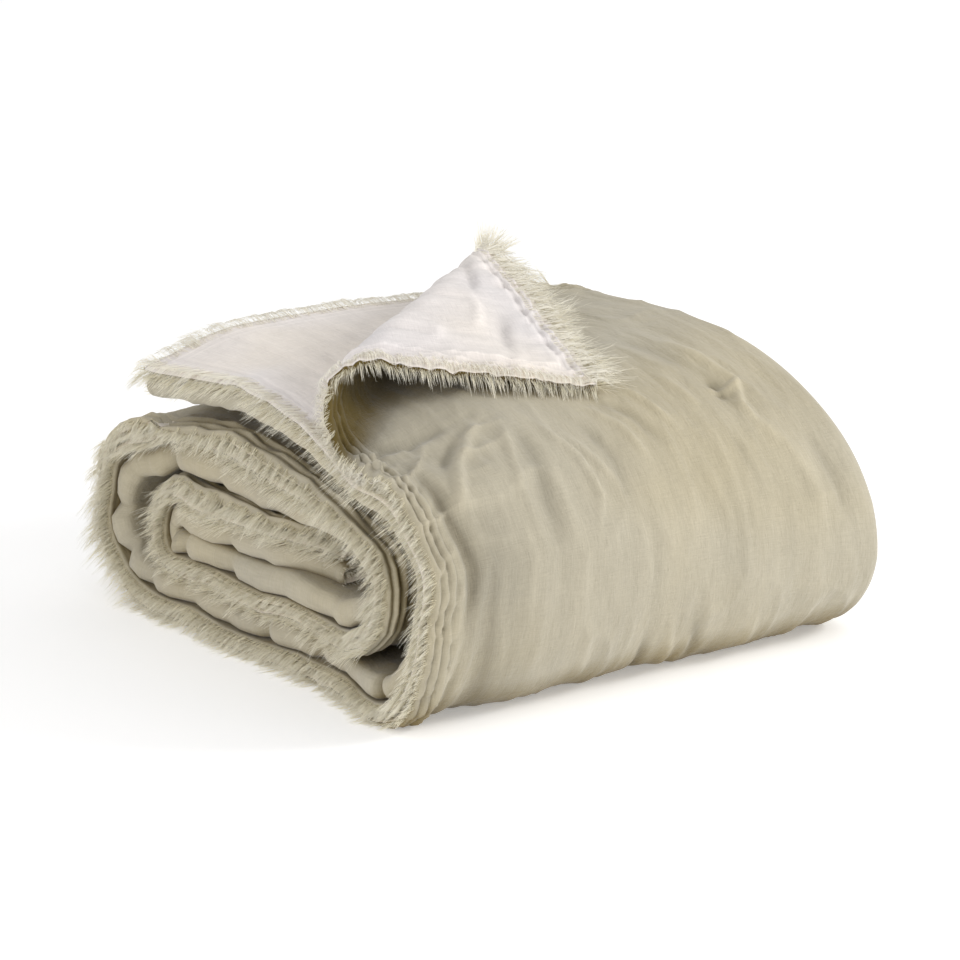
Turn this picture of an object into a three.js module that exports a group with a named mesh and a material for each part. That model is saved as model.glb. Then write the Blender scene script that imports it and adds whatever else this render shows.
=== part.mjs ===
// Linen throw in two cloths, a khaki face and an off-white reverse, with frayed fringe on
// all four edges. It is folded in four along its length, rolled up flat from one end, and
// the corner of its outermost ply is turned back over the top of the bundle.
// Millimetres, +Z up. X runs along the roll, from the fringed end to the folded end, and
// Y from the front of the bundle to its back. The origin is the middle of its underside.

import * as THREE from "three";

// ---- Driving dimensions -------------------------------------------------------------

const THROW_WIDTH = 1300;
const FRINGE_LENGTH = 18;
const FRINGE_BAND = 5;
const FRINGE_THICKNESS = 3;
const FRINGE_PITCH = 45;
const LOCK_TAPER = 0.16;
const PANEL_THICKNESS = 2.5;
const PANEL_GAP = 0.5;
const SEAM_GAP = 0.9;
const PLY_PITCH = 7;

// The two inner folds stand back from the outer fold and from the side edges.
const INNER_FOLD_SETBACK = 15;
const SOFT_FOLD_SETBACK = 10;

const HALF_PLY = PANEL_THICKNESS + PANEL_GAP / 2;
const FLOOR_LEVEL = 1.5 * PLY_PITCH + HALF_PLY;

// The middle of the folded cloth, seen along X, at the two ends of the roll. Each row is
// one turn, from the core outwards: the place where the cloth enters it level, the place
// where it stands upright, and the place where it leaves it level. Loft spreads the plies
// of the stretch that follows.
const ROLL_AT_FRINGED_END = {
  start: { y: -64, z: 80, loft: 1.1 },
  turns: [
    { enterY: 88, enterZ: 80, uprightY: 106, uprightZ: 63.5, leaveY: 88, leaveZ: 47, loft: 1.1 },
    { enterY: -80, enterZ: 46.5, uprightY: -124, uprightZ: 77, leaveY: -40, leaveZ: 118, loft: 1.25 },
    { enterY: 74, enterZ: 119, uprightY: 168, uprightZ: 60, leaveY: 104, leaveZ: FLOOR_LEVEL, loft: 1 },
    { enterY: -128, enterZ: FLOOR_LEVEL, uprightY: -176, uprightZ: 74, leaveY: -70, leaveZ: 168, loft: 1 },
  ],
  finish: { y: 116, z: 172 },
};
const ROLL_AT_FOLDED_END = {
  start: { y: -64, z: 76, loft: 1 },
  turns: [
    { enterY: 86, enterZ: 76, uprightY: 102, uprightZ: 61, leaveY: 86, leaveZ: 46, loft: 1 },
    { enterY: -80, enterZ: 46, uprightY: -126, uprightZ: 72, leaveY: -35, leaveZ: 110, loft: 1.05 },
    { enterY: 66, enterZ: 110, uprightY: 168, uprightZ: 58, leaveY: 104, leaveZ: FLOOR_LEVEL, loft: 1 },
    { enterY: -128, enterZ: FLOOR_LEVEL, uprightY: -176, uprightZ: 61, leaveY: -12, leaveZ: 151, loft: 1 },
  ],
  finish: { y: 116, z: 152 },
};
// The roll keeps the shape of its fringed end over most of its length.
const ROLL_CHANGE_POWER = 3;

// The corner turned back: where its crease meets the side edge and the end edge of the
// outermost ply, how wide it rolls over there, how much narrower between them, and how
// high its tip lies above that ply.
const CORNER = {
  creaseOnSideEdge: 210,
  creaseOnEndEdge: 288,
  radiusAtSideEdge: 17,
  radiusAtEndEdge: 18,
  narrowerBetween: 4,
  tipHeight: 8,
};

// The turned corner comes down to the ply soonest near its crease.
const SETTLE_POWER = 1.3;

const STEPS = { line: 24, arc: 24 };
const STATION_EVERY = { line: 12, arc: 8 };
const CREASE_STATIONS = 7;
const PLY_COLUMNS = 2;
const FOLD_COLUMNS = { wide: 5, narrow: 3 };
const CORNER_ROWS = { rolled: 6, lying: 4 };

// ---- The route of the cloth through the roll ------------------------------------------

// Each point of a route is its y, its z and its loft.
function lineTo(route, y, z) {
  const from = route[route.length - 1];
  for (let i = 1; i <= STEPS.line; i += 1) {
    const t = i / STEPS.line;
    route.push([THREE.MathUtils.lerp(from[0], y, t), THREE.MathUtils.lerp(from[1], z, t), from[2]]);
  }
}

function turnThrough(route, turn) {
  const loftBefore = route[route.length - 1][2];
  const loftAt = (share) => THREE.MathUtils.lerp(loftBefore, turn.loft, share);
  for (let i = 1; i <= STEPS.arc; i += 1) {
    const angle = (Math.PI / 2) * (i / STEPS.arc);
    route.push([
      turn.enterY + (turn.uprightY - turn.enterY) * Math.sin(angle),
      turn.uprightZ + (turn.enterZ - turn.uprightZ) * Math.cos(angle),
      loftAt(angle / Math.PI),
    ]);
  }
  for (let i = 1; i <= STEPS.arc; i += 1) {
    const angle = (Math.PI / 2) * (i / STEPS.arc);
    route.push([
      turn.leaveY + (turn.uprightY - turn.leaveY) * Math.cos(angle),
      turn.uprightZ + (turn.leaveZ - turn.uprightZ) * Math.sin(angle),
      loftAt(0.5 + angle / Math.PI),
    ]);
  }
}

function rollRoute(roll) {
  const route = [[roll.start.y, roll.start.z, roll.start.loft]];
  for (const turn of roll.turns) {
    lineTo(route, turn.enterY, turn.enterZ);
    turnThrough(route, turn);
  }
  lineTo(route, roll.finish.y, roll.finish.z);
  return route;
}

const fringedRoute = rollRoute(ROLL_AT_FRINGED_END);
const foldedRoute = rollRoute(ROLL_AT_FOLDED_END);
const LAST = fringedRoute.length - 1;

// Where the plies turn back at the folded end, from the width that has to fit between
// the edges: three folds and four plies.
const FOLD_X = (THROW_WIDTH - 2.5 * Math.PI * PLY_PITCH) / 4
  + (SOFT_FOLD_SETBACK + INNER_FOLD_SETBACK) / 2;
const BUNDLE_WIDTH = FOLD_X + FLOOR_LEVEL;

// A place, an outward direction and a loft on the route, at a whole or broken step number.
function routeFrame(step, x) {
  const across = Math.max(x / BUNDLE_WIDTH, 0) ** ROLL_CHANGE_POWER;
  const low = THREE.MathUtils.clamp(Math.floor(step), 0, LAST - 1);
  const mix = (i, axis) => THREE.MathUtils.lerp(fringedRoute[i][axis], foldedRoute[i][axis], across);
  const heading = (i) => {
    const before = Math.max(i - 1, 0);
    const after = Math.min(i + 1, LAST);
    return new THREE.Vector2(mix(after, 0) - mix(before, 0), mix(after, 1) - mix(before, 1)).normalize();
  };
  const t = step - low;
  const place = new THREE.Vector2(
    THREE.MathUtils.lerp(mix(low, 0), mix(low + 1, 0), t),
    THREE.MathUtils.lerp(mix(low, 1), mix(low + 1, 1), t),
  );
  const shareOfStep = THREE.MathUtils.clamp(t, 0, 1);
  const along = heading(low).lerp(heading(low + 1), shareOfStep).normalize();
  const loft = THREE.MathUtils.lerp(mix(low, 2), mix(low + 1, 2), shareOfStep);
  return { place, outward: new THREE.Vector2(-along.y, along.x), loft };
}

function sweep(x, out, step) {
  const { place, outward, loft } = routeFrame(step, x);
  return new THREE.Vector3(x, place.x + outward.x * out * loft, place.y + outward.y * out * loft);
}

// Distances back from the end edge of the outermost ply, along the fringed end.
const backFromEnd = new Array(LAST + 1).fill(0);
for (let i = LAST - 1; i >= 0; i -= 1) {
  const here = sweep(0, 1.5 * PLY_PITCH, i);
  backFromEnd[i] = backFromEnd[i + 1] + here.distanceTo(sweep(0, 1.5 * PLY_PITCH, i + 1));
}
const PLY_LENGTH = backFromEnd[0];

function stepAt(back) {
  let low = 0;
  while (low < LAST - 1 && backFromEnd[low + 1] > back) low += 1;
  return low + (backFromEnd[low] - back) / (backFromEnd[low] - backFromEnd[low + 1]);
}

// ---- The four plies and three folds, seen along the route -------------------------------

// Columns run from the edge of the outermost ply to the edge of the one below it. Each
// has a place across the bundle (x, out) and the direction that the face cloth looks.
function plyColumns(firstX, plySteps, wideSteps, narrowSteps) {
  const columns = [];
  const ply = (fromX, toX, out, faceOut) => {
    const steps = Math.max(1, plySteps(Math.abs(toX - fromX)));
    for (let i = columns.length ? 1 : 0; i <= steps; i += 1) {
      columns.push({ x: THREE.MathUtils.lerp(fromX, toX, i / steps), out, faceX: 0, faceOut });
    }
  };
  const fold = (x, out, radius, fromAngle, toAngle, faceSign, steps) => {
    for (let i = 1; i <= steps; i += 1) {
      const angle = THREE.MathUtils.lerp(fromAngle, toAngle, i / steps);
      columns.push({
        x: x + radius * Math.cos(angle),
        out: out + radius * Math.sin(angle),
        faceX: faceSign * Math.cos(angle),
        faceOut: faceSign * Math.sin(angle),
      });
    }
  };
  const quarter = Math.PI / 2;
  ply(firstX, FOLD_X, 1.5 * PLY_PITCH, 1);
  fold(FOLD_X, 0, 1.5 * PLY_PITCH, quarter, -quarter, 1, wideSteps);
  ply(FOLD_X, SOFT_FOLD_SETBACK, -1.5 * PLY_PITCH, -1);
  fold(SOFT_FOLD_SETBACK, -PLY_PITCH, 0.5 * PLY_PITCH, 3 * quarter, quarter, 1, narrowSteps);
  ply(SOFT_FOLD_SETBACK, FOLD_X - INNER_FOLD_SETBACK, -0.5 * PLY_PITCH, 1);
  fold(FOLD_X - INNER_FOLD_SETBACK, 0, 0.5 * PLY_PITCH, -quarter, quarter, -1, narrowSteps);
  ply(FOLD_X - INNER_FOLD_SETBACK, 0, 0.5 * PLY_PITCH, -1);
  return columns;
}

// A point of the cloth: at(offset) is its place, moved towards the face by the offset.
function pliedPoint(column, step) {
  const at = (offset) => sweep(
    column.x + column.faceX * offset, column.out + column.faceOut * offset, step,
  );
  return { at, runsOn: column.faceOut > 0 };
}

// ---- The corner turned back --------------------------------------------------------------

const creaseSpan = new THREE.Vector2(CORNER.creaseOnEndEdge, -CORNER.creaseOnSideEdge);
const creaseLength = creaseSpan.length();
const creaseWay = creaseSpan.clone().normalize();
const inwardWay = new THREE.Vector2(-creaseWay.y, creaseWay.x);
const tipDepth = CORNER.creaseOnSideEdge * creaseWay.x;

function creasePoint(distance) {
  return new THREE.Vector2(0, CORNER.creaseOnSideEdge).addScaledVector(creaseWay, distance);
}

function curlRadius(alongCrease) {
  const even = THREE.MathUtils.lerp(CORNER.radiusAtSideEdge, CORNER.radiusAtEndEdge, alongCrease);
  return even - CORNER.narrowerBetween * Math.sin(Math.PI * alongCrease);
}

// A point of the outermost ply, by its distances from the side edge and the end edge.
function outerPlyPoint(fromSide, fromEnd) {
  const fromStart = new THREE.Vector2(fromSide, fromEnd - CORNER.creaseOnSideEdge);
  const depth = Math.max(0, -fromStart.dot(inwardWay));
  const along = fromStart.dot(creaseWay);
  const radius = curlRadius(THREE.MathUtils.clamp(along / creaseLength, 0, 1));
  const angle = Math.min(depth / radius, Math.PI);
  const lying = Math.max(depth - Math.PI * radius, 0) / (tipDepth - Math.PI * radius);
  const settled = 1 - Math.max(1 - lying, 0) ** SETTLE_POWER;
  const at = (offset) => {
    const place = new THREE.Vector2(fromSide, fromEnd);
    let height = offset;
    if (depth > 0) {
      const rolled = (radius - offset) * Math.sin(angle);
      place.addScaledVector(inwardWay, depth - rolled + lying * (tipDepth - Math.PI * radius));
      height = radius - (radius - offset) * Math.cos(angle);
      height -= settled * (2 * radius - CORNER.tipHeight);
    }
    return sweep(place.x, 1.5 * PLY_PITCH + height, stepAt(place.y));
  };
  return { at, runsOn: depth === 0 };
}

// ---- Closed solids from a sheet of points ------------------------------------------------

// The triangles are triples of points. Each point is placed at two offsets, the two skins
// are joined along every edge that only one triangle uses.
function thicken(triangles, lowOffset, highOffset) {
  const numbers = new Map();
  const places = [];
  const number = (point) => {
    if (!numbers.has(point)) {
      numbers.set(point, places.length / 6);
      places.push(...point.at(lowOffset).toArray(), ...point.at(highOffset).toArray());
    }
    return numbers.get(point);
  };
  const faces = triangles.map((triangle) => triangle.map(number));
  const used = new Set(faces.flatMap(([a, b, c]) => [`${a},${b}`, `${b},${c}`, `${c},${a}`]));
  const index = [];
  const low = (i) => 2 * i;
  const high = (i) => 2 * i + 1;
  for (const face of faces) {
    index.push(...face.map(high), ...[...face].reverse().map(low));
    for (let k = 0; k < 3; k += 1) {
      const a = face[k];
      const b = face[(k + 1) % 3];
      if (!used.has(`${b},${a}`)) index.push(low(a), low(b), high(b), low(a), high(b), high(a));
    }
  }
  const geometry = new THREE.BufferGeometry();
  geometry.setAttribute("position", new THREE.Float32BufferAttribute(places, 3));
  geometry.setIndex(signedVolume(places, index) > 0 ? index : [...index].reverse());
  geometry.computeVertexNormals();
  return geometry;
}

function signedVolume(places, index) {
  const corner = (i) => new THREE.Vector3().fromArray(places, 3 * index[i]);
  let six = 0;
  for (let i = 0; i < index.length; i += 3) six += corner(i).dot(corner(i + 1).cross(corner(i + 2)));
  return six / 6;
}

// Plies that run on towards the folded end are cut along the other diagonal, so that the
// facets of all four plies lie parallel.
function gridTriangles(rows) {
  const triangles = [];
  for (let i = 0; i < rows.length - 1; i += 1) {
    for (let j = 0; j < rows[i].length - 1; j += 1) {
      const [a, b] = [rows[i][j], rows[i][j + 1]];
      const [c, d] = [rows[i + 1][j + 1], rows[i + 1][j]];
      if (b.runsOn) {
        triangles.push([a, b, d], [b, c, d]);
      } else {
        if (a !== b) triangles.push([a, b, c]);
        if (c !== d) triangles.push([a, c, d]);
      }
    }
  }
  return triangles;
}

// ---- The two panels -----------------------------------------------------------------------

// Distances back from the end edge at which the panels have a row of points.
function stationDistances() {
  const distances = [];
  const line = STEPS.line;
  const lap = line + 2 * STEPS.arc;
  for (let step = 0; backFromEnd[step] > CORNER.creaseOnSideEdge; step += 1) {
    const inLap = step % lap;
    const onLine = inLap <= line;
    const every = onLine ? STATION_EVERY.line : STATION_EVERY.arc;
    if ((onLine ? inLap : inLap - line) % every === 0) distances.push(backFromEnd[step]);
  }
  for (let i = 0; i <= CREASE_STATIONS; i += 1) {
    distances.push(CORNER.creaseOnSideEdge * (1 - i / CREASE_STATIONS));
  }
  return distances;
}

function clothRow(back) {
  const beyond = Math.max(0, 1 - back / CORNER.creaseOnSideEdge);
  const firstX = CORNER.creaseOnEndEdge * beyond;
  const columns = plyColumns(firstX, () => PLY_COLUMNS, FOLD_COLUMNS.wide, FOLD_COLUMNS.narrow);
  return columns.map((column, i) => (
    i <= PLY_COLUMNS ? outerPlyPoint(column.x, back) : pliedPoint(column, stepAt(back))
  ));
}

// How far towards the corner's tip each of its rows lies, at a share of the crease.
function cornerShares(acrossCrease) {
  const rolledShare = (Math.PI * curlRadius(acrossCrease)) / tipDepth;
  const shares = [];
  for (let i = 1; i <= CORNER_ROWS.rolled; i += 1) {
    shares.push((rolledShare * i) / CORNER_ROWS.rolled);
  }
  for (let i = 1; i < CORNER_ROWS.lying; i += 1) {
    shares.push(THREE.MathUtils.lerp(rolledShare, 1, i / CORNER_ROWS.lying));
  }
  return shares;
}

// The corner narrows from the points of its crease, shared with the rest, to its tip.
function cornerTriangles(creasePoints) {
  const widest = creasePoints.length - 1;
  const spokes = creasePoints.map((point, k) => {
    const foot = creasePoint(creaseLength * (k / widest));
    const lying = cornerShares(k / widest).map(
      (share) => outerPlyPoint(foot.x * (1 - share), foot.y * (1 - share)),
    );
    return [point, ...lying];
  });
  const rows = spokes[0].map((_, i) => spokes.map((spoke) => spoke[i]));
  const tip = outerPlyPoint(0, 0);
  return gridTriangles([...rows, rows[0].map(() => tip)]);
}

const stations = stationDistances();
const clothRows = stations.map(clothRow);
const creaseRows = clothRows.slice(-(CREASE_STATIONS + 1));
const clothTriangles = [
  ...gridTriangles(clothRows),
  ...cornerTriangles(creaseRows.map((row) => row[0])),
];

// ---- The fringes ---------------------------------------------------------------------------

// A comb of tapered locks. Each root is one place on an edge of the cloth, and gives the
// point at any distance out from it.
function fringeComb(roots) {
  const rowAt = (out) => roots.map((root) => root(out));
  const band = rowAt(FRINGE_BAND);
  const ends = rowAt(FRINGE_LENGTH);
  const triangles = gridTriangles([rowAt(SEAM_GAP), band]);
  const between = (i, share) => ({ at: (offset) => ends[i].at(offset).lerp(ends[i + 1].at(offset), share) });
  for (let i = 0; i < roots.length - 1; i += 1) {
    const tips = [between(i, LOCK_TAPER), between(i, 1 - LOCK_TAPER)];
    triangles.push(...gridTriangles([[band[i], band[i + 1]], tips]));
  }
  return thicken(triangles, -FRINGE_THICKNESS / 2, FRINGE_THICKNESS / 2);
}

// The given distances with more between them, so that no lock is wider than the pitch.
function lockPlaces(distances) {
  const places = [distances[0]];
  for (let i = 1; i < distances.length; i += 1) {
    const locks = Math.ceil(Math.abs(distances[i] - distances[i - 1]) / FRINGE_PITCH);
    for (let k = 1; k <= locks; k += 1) {
      places.push(THREE.MathUtils.lerp(distances[i - 1], distances[i], k / locks));
    }
  }
  return places;
}

const sidePlaces = lockPlaces([
  ...stations.filter((back) => back >= CORNER.creaseOnSideEdge),
  ...[...cornerShares(0), 1].map((share) => CORNER.creaseOnSideEdge * (1 - share)),
]);
const upperSideRoots = sidePlaces.map((back) => (out) => outerPlyPoint(-out, back));
const lowerSideRoots = lockPlaces(stations).map((back) => (out) => {
  const column = { x: -out, out: 0.5 * PLY_PITCH, faceX: 0, faceOut: -1 };
  return pliedPoint(column, stepAt(back));
});

const pliesByPitch = (span) => Math.max(PLY_COLUMNS, Math.round(span / FRINGE_PITCH));
const endColumns = (firstX) => plyColumns(firstX, pliesByPitch, FOLD_COLUMNS.wide, FOLD_COLUMNS.narrow);

const cornerPlaces = lockPlaces(
  [...cornerShares(1), 1].map((share) => CORNER.creaseOnEndEdge * (1 - share)).reverse(),
);
const outerEndRoots = [
  ...cornerPlaces.map((side) => (out) => outerPlyPoint(side, -out)),
  ...endColumns(CORNER.creaseOnEndEdge).slice(1).map((column) => (out) => (
    column.x < FOLD_X && column.out > PLY_PITCH
      ? outerPlyPoint(column.x, -out) : pliedPoint(column, stepAt(-out))
  )),
];
const coreEndRoots = endColumns(0).map(
  (column) => (out) => pliedPoint(column, stepAt(PLY_LENGTH + out)),
);

// ---- The throw ------------------------------------------------------------------------------

const FACE_LINEN = { color: 0xc4bba3, roughness: 0.92, metalness: 0 };
const REVERSE_LINEN = { color: 0xe1d9d3, roughness: 0.92, metalness: 0 };
const FRAYED_YARN = { color: 0xd0cab6, roughness: 0.95, metalness: 0 };

const pieces = [
  ["face_panel", thicken(clothTriangles, PANEL_GAP / 2, HALF_PLY), FACE_LINEN],
  ["reverse_panel", thicken(clothTriangles, -HALF_PLY, -PANEL_GAP / 2), REVERSE_LINEN],
  ["fringe_upper_side", fringeComb(upperSideRoots), FRAYED_YARN],
  ["fringe_lower_side", fringeComb(lowerSideRoots), FRAYED_YARN],
  ["fringe_outer_end", fringeComb(outerEndRoots), FRAYED_YARN],
  ["fringe_core_end", fringeComb(coreEndRoots), FRAYED_YARN],
];

const linenThrow = new THREE.Group();
for (const [name, geometry, finish] of pieces) {
  const mesh = new THREE.Mesh(geometry, new THREE.MeshStandardMaterial(finish));
  mesh.name = name;
  linenThrow.add(mesh);
}

// The origin goes to the middle of the bundle's box, on the surface that it lies on.
const box = new THREE.Box3().setFromObject(linenThrow);
const middle = box.getCenter(new THREE.Vector3());
linenThrow.position.set(-middle.x, -middle.y, -box.min.z);

export default linenThrow;
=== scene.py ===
"""Linen throw in two cloths with frayed edges, folded in four, rolled up flat, with the
corner of its outer end turned back. The throw's own sizes and colours are in the panel.
"""

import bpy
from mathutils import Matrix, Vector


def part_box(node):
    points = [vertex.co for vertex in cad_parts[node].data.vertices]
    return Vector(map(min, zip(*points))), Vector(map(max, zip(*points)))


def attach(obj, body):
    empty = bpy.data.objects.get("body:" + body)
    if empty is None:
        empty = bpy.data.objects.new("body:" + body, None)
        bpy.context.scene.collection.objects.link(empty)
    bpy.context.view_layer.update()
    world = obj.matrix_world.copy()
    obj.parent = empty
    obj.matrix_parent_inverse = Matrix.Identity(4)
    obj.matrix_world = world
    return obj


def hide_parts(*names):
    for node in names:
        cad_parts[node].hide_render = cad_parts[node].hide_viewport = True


bl_info = {
    "name": "Rolled Linen Throw",
    "version": (1, 0, 0),
    "blender": (4, 5, 0),
    "location": "3D View > Sidebar > Linen Throw",
    "description": "Builds a fringed linen throw, folded, rolled and turned back at a corner",
    "category": "Add Mesh",
}

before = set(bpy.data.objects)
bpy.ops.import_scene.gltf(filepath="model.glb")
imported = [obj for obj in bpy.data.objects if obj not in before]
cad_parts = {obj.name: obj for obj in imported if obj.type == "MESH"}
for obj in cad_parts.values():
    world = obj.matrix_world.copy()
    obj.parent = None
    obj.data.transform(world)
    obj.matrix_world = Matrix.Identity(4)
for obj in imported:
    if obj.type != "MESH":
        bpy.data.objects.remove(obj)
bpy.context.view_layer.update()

import math

import bmesh
import bpy
import numpy as np
from bpy.props import FloatProperty, FloatVectorProperty, IntProperty, PointerProperty
from mathutils import Vector

# ---- The folded and rolled shape, in metres ----------------------------------------------

PLY_PITCH = 0.007
SKIN = 0.00275
# The two cloths draw together within this of an edge.
RIM = 0.0028
INNER_FOLD_SETBACK = 0.015
SOFT_FOLD_SETBACK = 0.010
FLOOR_LEVEL = 1.5 * PLY_PITCH + SKIN

# The middle of the folded cloth, seen along X, at each end of the roll: a start (y, z,
# loft), turns (enter y, z, upright y, z, leave y, z, loft) and a finish (y, z).
ROLL_AT_FRINGED_END = {
    "start": (-0.064, 0.080, 1.1),
    "turns": (
        (0.088, 0.080, 0.106, 0.0635, 0.088, 0.047, 1.1),
        (-0.080, 0.0465, -0.124, 0.077, -0.040, 0.118, 1.25),
        (0.074, 0.119, 0.168, 0.060, 0.104, FLOOR_LEVEL, 1.0),
        (-0.128, FLOOR_LEVEL, -0.176, 0.074, -0.070, 0.168, 1.0),
    ),
    "finish": (0.116, 0.172),
}
ROLL_AT_FOLDED_END = {
    "start": (-0.064, 0.076, 1.0),
    "turns": (
        (0.086, 0.076, 0.102, 0.061, 0.086, 0.046, 1.0),
        (-0.080, 0.046, -0.126, 0.072, -0.035, 0.110, 1.05),
        (0.066, 0.110, 0.168, 0.058, 0.104, FLOOR_LEVEL, 1.0),
        (-0.128, FLOOR_LEVEL, -0.176, 0.061, -0.012, 0.151, 1.0),
    ),
    "finish": (0.116, 0.152),
}
ROLL_CHANGE_POWER = 3
ROUTE_STEPS = 48

CREASE_ON_SIDE_EDGE = 0.210
CREASE_ON_END_EDGE = 0.288
CURL_RADIUS_AT_SIDE_EDGE = 0.0205
CURL_RADIUS_AT_END_EDGE = 0.018
CURL_NARROWER_BETWEEN = 0.004
CURL_SETTLE_POWER = 1.3
TIP_HEIGHT = 0.008
# How far the cloth's core is drawn in at the fringed end, and over what length.
CORE_DRAWN_IN = 0.016
CORE_DRAWN_OVER = 0.06


def smooth(low, high, value):
    """0 below low, 1 above high, and a soft step between them."""
    t = np.clip((value - low) / (high - low), 0, 1)
    return t * t * (3 - 2 * t)


def mix(a, b, share):
    return a + (b - a) * share


class SoftNoise:
    """Smooth random hills between about -1 and 1, one unit across."""

    def __init__(self, seed):
        self.lattice = np.random.default_rng(seed).uniform(-1, 1, (64, 64))

    def __call__(self, a, b):
        i, j = np.floor(a).astype(int), np.floor(b).astype(int)
        u, v = smooth(0, 1, a - i), smooth(0, 1, b - j)
        at = lambda di, dj: self.lattice[(i + di) % 64, (j + dj) % 64]
        return mix(mix(at(0, 0), at(1, 0), u), mix(at(0, 1), at(1, 1), u), v)


def roll_route(roll):
    """The route's points, each a y, a z and a loft."""
    shares = np.arange(1, ROUTE_STEPS + 1) / ROUTE_STEPS
    quarter = shares * math.pi / 2
    route = [np.array([roll["start"]])]

    def line_to(y, z):
        from_y, from_z, loft = route[-1][-1]
        lofts = np.full_like(shares, loft)
        line = [mix(from_y, y, shares), mix(from_z, z, shares), lofts]
        route.append(np.column_stack(line))

    for enter_y, enter_z, upright_y, upright_z, leave_y, leave_z, loft in roll["turns"]:
        line_to(enter_y, enter_z)
        before = route[-1][-1][2]
        route.append(
            np.column_stack(
                [
                    enter_y + (upright_y - enter_y) * np.sin(quarter),
                    upright_z + (enter_z - upright_z) * np.cos(quarter),
                    mix(before, loft, shares / 2),
                ]
            )
        )
        route.append(
            np.column_stack(
                [
                    leave_y + (upright_y - leave_y) * np.cos(quarter),
                    upright_z + (leave_z - upright_z) * np.sin(quarter),
                    mix(before, loft, 0.5 + shares / 2),
                ]
            )
        )
    line_to(*roll["finish"])
    return np.vstack(route)


# Rows of stitching that hold the hem, this far apart along every edge.
HEM_PITCH = 0.0058
HEM_ROWS = 3
HEM_WIDTH = HEM_PITCH * HEM_ROWS

# Creases of the outer ply: their course as (s, t) points, their width and their height.
CREASES = (
    # the pinch near the folded end and the dimple beside it
    (((0.272, 0.222), (0.279, 0.245), (0.268, 0.262), (0.272, 0.276)), 0.0035, 0.0044),
    (((0.262, 0.236), (0.262, 0.247), (0.260, 0.258)), 0.0044, -0.0040),
    (((0.250, 0.246), (0.266, 0.250), (0.284, 0.246)), 0.0026, 0.0028),
    (((0.262, 0.190), (0.270, 0.215), (0.277, 0.240)), 0.0050, 0.0027),
    (((0.270, 0.268), (0.282, 0.292), (0.290, 0.325)), 0.0050, 0.0020),
    (((0.240, 0.170), (0.250, 0.205), (0.256, 0.235)), 0.0080, -0.0020),
    # below the turned-back corner
    (((0.088, 0.226), (0.050, 0.262), (0.030, 0.300)), 0.0036, 0.0042),
    (((0.092, 0.240), (0.083, 0.268), (0.074, 0.298)), 0.0024, 0.0030),
    (((0.108, 0.238), (0.126, 0.275), (0.130, 0.303), (0.118, 0.330)), 0.0024, 0.0034),
    (((0.126, 0.258), (0.146, 0.300)), 0.0023, 0.0028),
    (((0.150, 0.236), (0.168, 0.262), (0.176, 0.290)), 0.0026, 0.0028),
    (((0.162, 0.232), (0.182, 0.256), (0.194, 0.284)), 0.0045, -0.0022),
    (((0.190, 0.226), (0.208, 0.270)), 0.0026, 0.0030),
    (((0.224, 0.222), (0.238, 0.262)), 0.0040, 0.0020),
    (((0.070, 0.236), (0.052, 0.252), (0.040, 0.262)), 0.0045, -0.0030),
    (((0.100, 0.232), (0.098, 0.262), (0.092, 0.300), (0.090, 0.340)), 0.0055, -0.0024),
    (((0.138, 0.246), (0.150, 0.276), (0.152, 0.320)), 0.0050, -0.0020),
    (((0.010, 0.214), (0.040, 0.226), (0.075, 0.222)), 0.0060, -0.0040),
    (((0.055, 0.300), (0.052, 0.360), (0.058, 0.420)), 0.0045, 0.0016),
    (((0.072, 0.310), (0.070, 0.370)), 0.0030, 0.0012),
    (((0.150, 0.310), (0.158, 0.370)), 0.0035, 0.0012),
    (((0.215, 0.290), (0.222, 0.345)), 0.0035, 0.0013),
    (((0.245, 0.275), (0.250, 0.320)), 0.0035, -0.0014),
    # the trough beside the hem, and the swell behind it
    (((0.023, 0.236), (0.026, 0.285), (0.030, 0.330), (0.028, 0.375)), 0.0045, -0.0050),
    (((0.044, 0.270), (0.048, 0.340), (0.048, 0.430), (0.044, 0.490)), 0.0180, -0.0036),
    (((0.026, 0.375), (0.024, 0.420), (0.026, 0.470)), 0.0040, -0.0026),
    # near the floor and at the folded end
    (((0.112, 0.370), (0.118, 0.430)), 0.0040, 0.0024),
    (((0.160, 0.395), (0.175, 0.455)), 0.0035, -0.0028),
    (((0.176, 0.385), (0.192, 0.448)), 0.0035, 0.0026),
    (((0.196, 0.385), (0.212, 0.445)), 0.0040, -0.0026),
    (((0.240, 0.395), (0.250, 0.440)), 0.0040, 0.0018),
    (((0.293, 0.285), (0.289, 0.350)), 0.0050, 0.0022),
    (((0.305, 0.280), (0.310, 0.345)), 0.0050, -0.0022),
    # on the turned-back corner, beside its end edge
    (((0.020, 0.046), (0.060, 0.040), (0.100, 0.030)), 0.0040, 0.0034),
    (((0.050, 0.060), (0.085, 0.050), (0.120, 0.046)), 0.0036, -0.0030),
    (((0.110, 0.046), (0.150, 0.034), (0.185, 0.026)), 0.0034, 0.0030),
    (((0.030, 0.090), (0.055, 0.082)), 0.0045, -0.0024),
    (((0.150, 0.060), (0.195, 0.046)), 0.0040, -0.0024),
)

# How far the soft fold inside the fringed end may swell, at steps of the route, and how
# far it comes forward to do so.
PUFF_ROOM = (
    (0, 0.0030, 0.006),
    (60, 0.0030, 0.006),
    (96, 0.0020, 0.003),
    (144, 0.0042, 0.009),
    (192, 0.0042, 0.008),
    (240, 0.0010, -0.006),
    (288, 0.0030, 0.002),
    (336, 0.0045, 0.005),
    (384, 0.0055, 0.007),
    (432, 0.0055, 0.006),
    (480, 0.0050, 0.005),
    (528, 0.0010, -0.003),
    (576, 0.0030, 0.002),
    (624, 0.0040, 0.004),
)


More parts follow.
